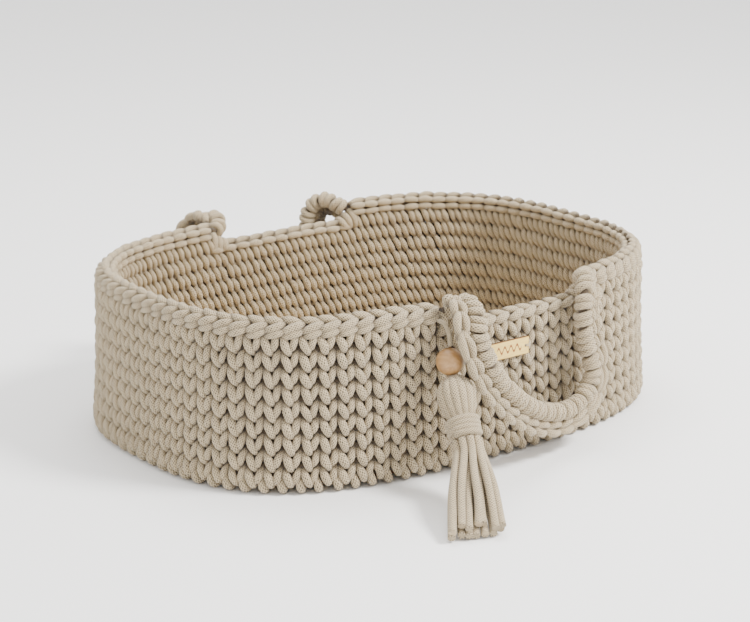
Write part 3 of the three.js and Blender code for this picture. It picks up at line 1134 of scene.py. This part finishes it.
@dataclass
class Handle:
    """A handle that hangs in a lopsided U: wraps of cord round a foundation, and a chain outside them."""

    name: str
    body: Body
    side: int
    cotton: bpy.types.Material
    seed: int
    route: tuple = (
        (-107.6, 0, 181), (-102, 0, 181), (-93, 4, 184), (-86, 18, 191), (-91, 38, 184), (-99, 53, 164),
        (-92, 60, 138), (-72, 60, 108), (-40, 58, 80), (-8, 53, 62), (28, 47, 52), (59, 43, 55),
        (78, 40, 70), (82, 38, 92), (74, 37, 120), (68, 37, 146), (68, 36, 168), (74, 32, 183),
        (86, 17, 191), (95, 4, 184), (102, 0, 181), (107.6, 0, 181),
    )
    stitch_pitch: float = 18.6 * MM
    turn_gap: float = 7.9 * MM
    wrap_radius: float = 6.5 * MM
    cord_radius: float = 4.55 * MM
    core_radius: float = 4.6 * MM
    lean: float = 0.3
    steps: int = 700
    spread: float = 7.0 * MM
    spread_reach: float = 110 * MM
    legs: tuple = (
        ((-12.5, 18.6, -5.5, 2.2), (-7.5, 16.8, -0.2, 3.6), (0, 14.4, 1.6, 4.9), (7.5, 14.4, 0.2, 3.7),
         (12.5, 16.2, -5.5, 2.2)),
        ((-12.5, 19.8, -5.5, 2.2), (-7.5, 21.6, -0.2, 3.6), (0, 24.0, 1.6, 4.9), (7.5, 24.0, 0.2, 3.7),
         (12.5, 22.0, -5.5, 2.2)),
    )

    def __post_init__(self) -> None:
        """Take the handle's place from its hinge and walk along its route."""
        hinge = next(j["pos_m"] for j in frame["joints"] if j["child"] == self.body.value)
        points = [(hinge[0] + a * MM, hinge[1] + self.side * o * MM, z * MM) for a, o, z in self.route]
        self.path = smooth_curve(points, self.steps)
        self.s = walked(self.path)
        self.tangents = unit(np.gradient(self.path, axis=0))
        half = self.steps // 2
        down = np.array((0.0, 0.0, -1.0))
        onward = carried_frames(self.tangents[half:], down)
        backward = carried_frames(self.tangents[: half + 1][::-1], down)[::-1]
        self.sides = np.vstack([backward[:-1], onward])
        self.out = np.cross(self.tangents, self.sides)
        if self.out[half, 1] * self.side < 0:
            self.out = -self.out

    def _at(self, s: np.ndarray, side: np.ndarray, out: np.ndarray) -> np.ndarray:
        """Points beside the route, at distance s along it.

        Args:
            s: distance along the route, for each point.
            side: distance sideways.
            out: distance outwards.

        Returns:
            One row for each point.
        """
        def read(rows: np.ndarray) -> np.ndarray:
            """The rows' values at the distances asked for."""
            return np.stack([np.interp(s, self.s, rows[:, k]) for k in range(3)], axis=1)

        return read(self.path) + read(self.sides) * side[:, None] + read(self.out) * out[:, None]

    def _stitch_count(self) -> int:
        """How many stitches the route holds."""
        return int(self.s[-1] / self.stitch_pitch)

    def _stitch_middle(self, number: int) -> float:
        """How far along the route the middle of a stitch is."""
        spare = self.s[-1] - self._stitch_count() * self.stitch_pitch
        return spare / 2 + (number + 0.5) * self.stitch_pitch

    def build_strap(self) -> bpy.types.Object:
        """The foundation cord and the wraps round it, two turns to a stitch.

        Returns:
            The piece.
        """
        rng = np.random.default_rng(self.seed)
        cord = CordMesh(f"{self.name}_wraps")
        count = self._stitch_count()
        angle = np.linspace(0, TAU, 24, endpoint=False)
        for number in range(count):
            middle = self._stitch_middle(number) + rng.normal(0, 0.5 * MM)
            lean = self.lean + rng.normal(0, 0.06)
            plump = 1 + rng.normal(0, 0.03)
            for turn in (-0.5, 0.5):
                bulge = rng.normal(0, 0.25 * MM, 3)
                reach = self.wrap_radius * plump + bulge[0] * np.cos(angle) + bulge[1] * np.sin(angle)
                s = middle + turn * self.turn_gap * (1 + 0.06 * np.cos(angle)) + lean * reach * np.sin(angle)
                s = np.clip(s, 1 * MM, self.s[-1] - 1 * MM)
                path = self._at(s, reach * np.cos(angle), reach * np.sin(angle) * 0.94)
                thick = self.cord_radius * (1 + 0.05 * np.cos(angle + bulge[2] * 4000) + rng.normal(0, 0.02))
                cord.sweep(path, thick, sides=9, closed=True)
        # painted shade: the foundation cord is painted fully dark
        cord.sweep(self.path[::6], self.core_radius, sides=8, cut=True, sunk=1.0)
        return settle(
            cord.build(self.cotton), self.body, Slot.COTTON, f"{self.name}_strap", f"{self.name}_core"
        )

    def build_chain(self) -> bpy.types.Object:
        """The chain along the outside of the U.

        Returns:
            The piece.
        """
        rng = np.random.default_rng(self.seed + 1)
        cord = CordMesh(f"{self.name}_chain")
        for number in range(self._stitch_count()):
            centre = self._stitch_middle(number)
            wider = self.spread * max(0.0, 1 - centre / self.spread_reach)
            for leg in self.legs:
                rows = np.array(leg) * MM
                rows[:, :3] += rng.normal(0, 0.4 * MM, rows[:, :3].shape)
                rows[:, 1] += wider * (rows[:, 1] - self.wrap_radius) / (18 * MM)
                rows[:, 0] = np.clip(rows[:, 0] + centre, 1 * MM, self.s[-1] - 1 * MM)
                rows[:, 3] *= 1 + rng.normal(0, 0.03)
                fine = refine(np.vstack([rows[:1], rows, rows[-1:]]), 3)
                path = self._at(fine[:, 0], fine[:, 1], fine[:, 2])
                # painted shade where the links thin between their neighbours
                cord.sweep(path, fine[:, 3], sides=9, cut=True, sunk=tapered(fine[:, 3]))
        return settle(cord.build(self.cotton), self.body, Slot.COTTON, f"{self.name}_edge_chain")

    def build(self) -> None:
        """Both pieces."""
        self.build_strap()
        self.build_chain()


# ---- name plate ----


@dataclass
class NamePlate:
    """Birch plate tied flat against the wall, with a thread at each end."""

    corner: float = 1.5 * MM
    hole_inset: float = 5.0 * MM
    hole_radius: float = 1.5 * MM
    thread_radius: float = 0.55 * MM

    def build(self) -> None:
        """The plate and its two ties."""
        low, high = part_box("name_plate")
        size = high - low
        centre = (low + high) / 2
        half_x, half_y = size.x / 2, size.z / 2
        shape = bpy.data.curves.new("plate outline", "CURVE")
        shape.dimensions, shape.fill_mode = "2D", "BOTH"
        shape.extrude, shape.bevel_depth, shape.offset = size.y / 2 - 0.25 * MM, 0.25 * MM, -0.25 * MM
        shape.bevel_resolution = 1
        outline = []
        for corner in range(4):
            middle = math.pi / 2 * corner
            x = (half_x - self.corner) * (1 if corner in (0, 3) else -1)
            y = (half_y - self.corner) * (1 if corner in (0, 1) else -1)
            for angle in np.linspace(middle, middle + math.pi / 2, 5):
                outline.append((x + self.corner * math.cos(angle), y + self.corner * math.sin(angle)))
        hole_x = half_x - self.hole_inset
        rings = [outline]
        for x in (-hole_x, hole_x):
            rings.append([
                (x + self.hole_radius * math.cos(a), self.hole_radius * math.sin(a))
                for a in np.linspace(0, TAU, 16, endpoint=False)
            ])
        for ring in rings:
            spline = shape.splines.new("POLY")
            spline.points.add(len(ring) - 1)
            for point, (x, y) in zip(spline.points, ring):
                point.co = (x, y, 0, 1)
            spline.use_cyclic_u = True
        upright = Matrix.Translation(centre) @ Matrix.Rotation(math.pi / 2, 4, "X")
        plate = as_mesh(shape, "plate", upright)
        face = PlateFinish("birch plate", half_x, half_y)
        paint(plate, face.material(), BurntEdgeFinish("plate edge", ply=1.0 * MM).material())
        settle(plate, Body.BASKET, Slot.BIRCH, "name_plate")
        thread = ThreadFinish().material()
        for name, x in (("left", -hole_x), ("right", hole_x)):
            self._tie(name, centre, x, size, thread)

    def _tie(self, name: str, centre: Vector, x: float, size: Vector, thread: bpy.types.Material) -> None:
        """Two turns of thread through a hole and round the plate's end.

        Args:
            name: left or right.
            centre: the plate's middle.
            x: where the hole is, from the middle.
            size: the plate's size.
            thread: its finish.
        """
        cord = CordMesh(f"tie_{name}", cells_around=6, cell=1.6 * MM)
        outwards = math.copysign(1, x)
        front = centre.y - size.y / 2 - self.thread_radius * 0.8
        back = centre.y + size.y / 2 + 2.4 * MM
        for lift in (-0.75 * MM, 0.75 * MM):
            start = centre.x + x
            end = centre.x + outwards * (size.x / 2 + 1.4 * MM)
            z = centre.z + lift
            points = [
                (start, back, z), (start, front + 1.2 * MM, z), (start + outwards * 1.1 * MM, front, z * 1.0),
                (end - outwards * 1.4 * MM, front, z + lift * 0.6), (end, front + 1.0 * MM, z + lift * 0.8),
                (end + outwards * 0.4 * MM, back, z + lift),
            ]
            cord.sweep(smooth_curve(points, 26), self.thread_radius, sides=8, cut=True)
        settle(cord.build(thread), Body.BASKET, Slot.THREAD, f"plate_tie_{name}")


# ---- tassel ----


@dataclass
class Tassel:
    """A bead and a bound bundle of cord ends that hang from the wall by the front handle."""

    cotton: bpy.types.Material
    hanger_route: tuple = (
        (-97, -236.9, 176), (-97.5, -246, 175), (-98.5, -254, 169), (-99, -257.6, 161), (-99, -258, 153.4),
    )
    hanger_radius: float = 2.5 * MM
    bead_centre: tuple = (-99, -258, 136)
    bead_radius: float = 15 * MM
    bore_radius: float = 3.6 * MM
    head_top: tuple = (-98.5, -261.5, 120)
    neck_top: tuple = (-109, -289, 85)
    neck_length: float = 27 * MM
    skirt_centre: tuple = (-183, -404, 4.4)
    strand_radius: float = 3.5 * MM
    cord_radius: float = 4.1 * MM
    rings: tuple = ((4, 5.6), (10, 13.2))
    tip_pitch: float = 8.6 * MM
    swell: float = 4 * MM
    gap: float = 0.3 * MM
    head_radius: float = 21.5 * MM
    head_cords: int = 13
    seed: int = 31

    def __post_init__(self) -> None:
        """Work out the tassel's directions from its points."""
        self.top = Vector(self.head_top) * MM
        self.neck = Vector(self.neck_top) * MM
        self.down = (self.neck - self.top).normalized()
        self.neck_end = self.neck + self.down * self.neck_length
        self.across = Vector((0, 0, 1)).cross(self.down).normalized()
        self.up = self.down.cross(self.across)

    def build_hanger(self) -> None:
        """The cord that the tassel hangs by."""
        path = smooth_curve(np.array(self.hanger_route) * MM, 40)
        cord = CordMesh("hanger_cord", cells_around=8, cell=1.6 * MM)
        cord.sweep(path, self.hanger_radius, sides=12, cut=True)
        made = settle(cord.build(self.cotton), Body.HANGER, Slot.COTTON, "tassel_hanger")
        2 * self.hanger_radius

    def build_bead(self) -> bpy.types.Object:
        """The turned wooden bead, with its bore along the tassel.

        Returns:
            The piece.
        """
        bore = math.asin(self.bore_radius / self.bead_radius)
        angles = np.linspace(bore, math.pi - bore, 32)
        profile = [(self.bead_radius * math.sin(a), self.bead_radius * math.cos(a)) for a in angles]
        lip = self.bead_radius * math.cos(bore)
        profile = [(self.bore_radius, lip - 3 * MM), (self.bore_radius, lip - 0.5 * MM)] + profile
        profile += [(self.bore_radius, -lip + 0.5 * MM), (self.bore_radius, -lip + 3 * MM)]
        sides = 48
        points = [
            (r * math.cos(TAU * j / sides), r * math.sin(TAU * j / sides), h)
            for r, h in profile for j in range(sides)
        ]
        faces = [
            (
                i * sides + j, (i + 1) * sides + j,
                (i + 1) * sides + (j + 1) % sides, i * sides + (j + 1) % sides,
            )
            for i in range(len(profile) - 1) for j in range(sides)
        ]
        mesh = bpy.data.meshes.new("bead")
        mesh.from_pydata(points, [], faces)
        mesh.shade_smooth()
        finish = WoodFinish(
            "bead wood", rgb(176, 138, 92), rgb(150, 112, 68),
            grain=320, gloss=0.42, coat=0.12, relief=0.02 * MM,
        )
        mesh.materials.append(finish.material())
        made = bpy.data.objects.new("bead", mesh)
        bpy.context.scene.collection.objects.link(made)
        centre = Vector(self.bead_centre) * MM
        turn = (self.top - centre).to_track_quat("Z", "X").to_matrix().to_4x4()
        made.matrix_world = Matrix.Translation(centre) @ turn
        return settle(made, Body.TASSEL, Slot.BEAD, "tassel_bead")

    def _around(self, angle: np.ndarray, radius: np.ndarray, down: np.ndarray) -> np.ndarray:
        """Points round the tassel's axis, down from the head's top.

        Args:
            angle: angle round the axis, for each point.
            radius: distance from the axis.
            down: distance down from the head's top.

        Returns:
            One row for each point.
        """
        across, up, axis = (np.array(v)[None, :] for v in (self.across, self.up, self.down))
        return (
            np.array(self.top)[None, :] + axis * down[:, None]
            + across * (radius * np.cos(angle))[:, None] + up * (radius * np.sin(angle))[:, None]
        )

    def build_head(self) -> bpy.types.Object:
        """Cords that fold over at the top, swell out and draw in to the neck.

        Returns:
            The piece.
        """
        rng = np.random.default_rng(self.seed)
        cord = CordMesh("head_cords")
        bulb = (self.neck - self.top).length
        share = np.array([0.02, 0.06, 0.16, 0.3, 0.48, 0.66, 0.84, 1.0])
        outline = np.array([0.12, 0.34, 0.7, 0.92, 1.0, 0.95, 0.84, 0.73])
        thick = np.array([3.0, 3.8, 4.5, 4.9, 5.0, 4.7, 4.1, 3.6]) * MM
        fine = np.linspace(0, len(share) - 1, 26)
        index = np.arange(len(share))
        down = np.interp(fine, index, share) * bulb
        reach = np.interp(fine, index, outline) * self.head_radius
        radii = np.interp(fine, index, thick)
        smooth = np.array([0.25, 0.5, 0.25])
        reach[1:-1], radii[1:-1] = np.convolve(reach, smooth, "valid"), np.convolve(radii, smooth, "valid")
        tail = np.linspace(0.1, 1, 6)
        down = np.concatenate([down, bulb + tail * (self.neck_length - 0.5 * MM)])
        reach = np.concatenate([reach, np.full(6, self.head_radius * 0.73)])
        radii = np.concatenate([radii, np.full(6, 3.6 * MM)])
        for i in range(self.head_cords):
            start = TAU * (i + rng.normal(0, 0.06)) / self.head_cords
            lean = rng.normal(0, 0.05)
            angle = start + lean * np.sin(np.linspace(0, math.pi, len(down)))
            size = 1 + rng.normal(0, 0.03)
            path = self._around(angle, np.maximum(reach - radii, 0.2 * MM), down)
            cord.sweep(path, radii * size, sides=12, cut=True)
        return settle(cord.build(self.cotton), Body.TASSEL, Slot.COTTON, "tassel_head")

    def build_wrap(self) -> bpy.types.Object:
        """The turns of cord that bind the neck.

        Returns:
            The piece.
        """
        cord = CordMesh("neck_turns")
        low, high = 0.6 * MM, self.neck_length - 0.6 * MM
        radius = 3.55 * MM
        turns = 3.6
        angle = np.linspace(0, TAU * turns, 130)
        start = (self.neck - self.top).length
        down = start + low + radius + (high - low - 2 * radius) * angle / angle[-1]
        reach = np.full(len(angle), 19.2 * MM - radius) + 0.3 * MM * np.sin(angle * 1.7)
        cord.sweep(self._around(angle - 1.2, reach, down), radius, sides=10, cut=True)
        return settle(cord.build(self.cotton), Body.TASSEL, Slot.COTTON, "tassel_neck_wrap")

    def _places(self) -> list[dict]:
        """Where each strand leaves the neck, across and up, and where its tip comes to lie.

        Returns:
            One entry for each strand, in metres.
        """
        places = []
        for count, ring in self.rings:
            for i in range(count):
                angle = (i + 0.5) / count * TAU
                across, up = ring * MM * math.cos(angle), ring * MM * math.sin(angle)
                places.append({"across": across, "up": up, "ring": ring})
        for layer, side in ((1, 1), (0, -1)):
            row = sorted((p for p in places if p["up"] * side > 0), key=lambda p: p["across"])
            for i, place in enumerate(row):
                place["tip_across"] = (i - (len(row) - 1) / 2) * self.tip_pitch
                place["tip_up"] = layer * 2 * (self.strand_radius + self.gap)
        return places

    def build_strands(self) -> None:
        """The skirt: cut lengths of cord that splay out and come down on the floor."""
        rng = np.random.default_rng(self.seed + 2)
        for number, place in enumerate(self._places(), start=1):
            start = self.neck_end + self.across * place["across"] + self.up * place["up"]
            start = start + self.down * (self.gap * 2)
            bound = start + self.down * (12 * MM)
            tip = Vector(self.skirt_centre) * MM + self.across * place["tip_across"]
            tip.z += place["tip_up"]
            swell = self.swell / (place["ring"] * MM) if place["ring"] > self.rings[0][1] else 0
            middle = bound.lerp(tip, 0.5) + self.across * (place["across"] * swell)
            middle = middle + self.up * (place["up"] * swell)
            route = [start, start + self.down * (5 * MM), bound, middle, tip]
            path = smooth_curve([tuple(p) for p in route], 56)[: 56 - rng.integers(0, 4)]
            share = np.linspace(0, 1, len(path))
            bow = np.sin(share * rng.uniform(3.5, 6.5)) * share * rng.uniform(-2.2, 2.2) * MM
            path = path + bow[:, None] * np.array(self.across)
            cord = CordMesh(f"strand_{number:02d}", cells_around=7, cell=3.3 * MM)
            cord.sweep(path, self.cord_radius, sides=12, cut=True)
            made = settle(cord.build(self.cotton), Body.TASSEL, Slot.COTTON, f"tassel_strand_{number:02d}")
            2 * self.cord_radius

    def build(self) -> None:
        """The whole tassel."""
        self.build_hanger()
        self.build_bead()
        self.build_head()
        self.build_wrap()
        self.build_strands()


# ---- studio ----


@dataclass
class Studio:
    """The camera, a pale floor and soft light."""

    azimuth: float = -37.91
    elevation: float = 16.81
    distance: float = 2.4275
    target: tuple = (0, 0, 0.090)
    lens: float = 97.6
    sensor: float = 36.0
    shift: tuple = (0.0011, 0.0268)
    surround: float = 1.65

    def build_camera(self) -> None:
        """Sets the scene's camera."""
        a, e = math.radians(self.azimuth), math.radians(self.elevation)
        back = Vector((math.sin(a) * math.cos(e), -math.cos(a) * math.cos(e), math.sin(e)))
        data = bpy.data.cameras.new("camera")
        data.lens, data.sensor_width = self.lens, self.sensor
        data.shift_x, data.shift_y = self.shift
        camera = bpy.data.objects.new("camera", data)
        camera.location = Vector(self.target) + back * self.distance
        camera.rotation_mode = "QUATERNION"
        camera.rotation_quaternion = (-back).to_track_quat("-Z", "Y")
        bpy.context.scene.collection.objects.link(camera)
        bpy.context.scene.camera = camera

    def _area(
        self, name: str, place: Sequence[float], size: float, power: float, colour: Sequence[float],
    ) -> None:
        """A round lamp that faces the basket.

        Args:
            name: the lamp's name.
            place: where it stands.
            size: its diameter, in metres.
            power: its power, in watts.
            colour: its light.
        """
        data = bpy.data.lights.new(name, "AREA")
        data.shape, data.size, data.energy, data.color = "DISK", size, power, colour
        lamp = bpy.data.objects.new(name, data)
        lamp.location = place
        lamp.rotation_mode = "QUATERNION"
        lamp.rotation_quaternion = (Vector((0, 0, 0.1)) - Vector(place)).to_track_quat("-Z", "Y")
        bpy.context.scene.collection.objects.link(lamp)

    def build(self) -> None:
        """Floor, lamps and surrounding light."""
        bpy.ops.mesh.primitive_plane_add(size=24)
        floor = bpy.context.active_object
        floor.name = "floor"
        g = Graph("floor")
        speckle = g.noise(g.place(), 6, 2)
        white = (0.93, 0.93, 0.93, 1)
        floor.data.materials.append(g.finish(
            None, 0, Base_Color=g.mix(speckle * 0.05, white, (0.9, 0.9, 0.9, 1)), Roughness=0.75))
        world = bpy.data.worlds.new("studio")
        world.use_nodes = True
        background = world.node_tree.nodes["Background"]
        background.inputs["Color"].default_value = (1.0, 0.99, 0.975, 1)
        background.inputs["Strength"].default_value = self.surround
        bpy.context.scene.world = world
        self._area("key", (1.2, -1.7, 2.4), 0.9, 175, (1.0, 0.985, 0.96))
        self._area("top", (0.3, 0.7, 2.6), 1.6, 45, (1.0, 0.99, 0.97))


def main() -> None:
    """Builds the camera, the cords and then everything else."""
    logging.basicConfig(level=logging.INFO, format="%(message)s")
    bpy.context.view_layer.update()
    Studio().build_camera()
    cotton = CordFinish().material()
    oval = Oval()
    Tassel(cotton).build()
    wall = Wall(oval, cotton)
    wall.build()
    Base(oval, wall, cotton).build()
    Handle("handle_front", Body.HANDLE_FRONT, -1, cotton, 41).build()
    Handle("handle_rear", Body.HANDLE_REAR, 1, cotton, 47).build()
    NamePlate().build()
    Studio().build()


if __name__ == "__main__":
    main()
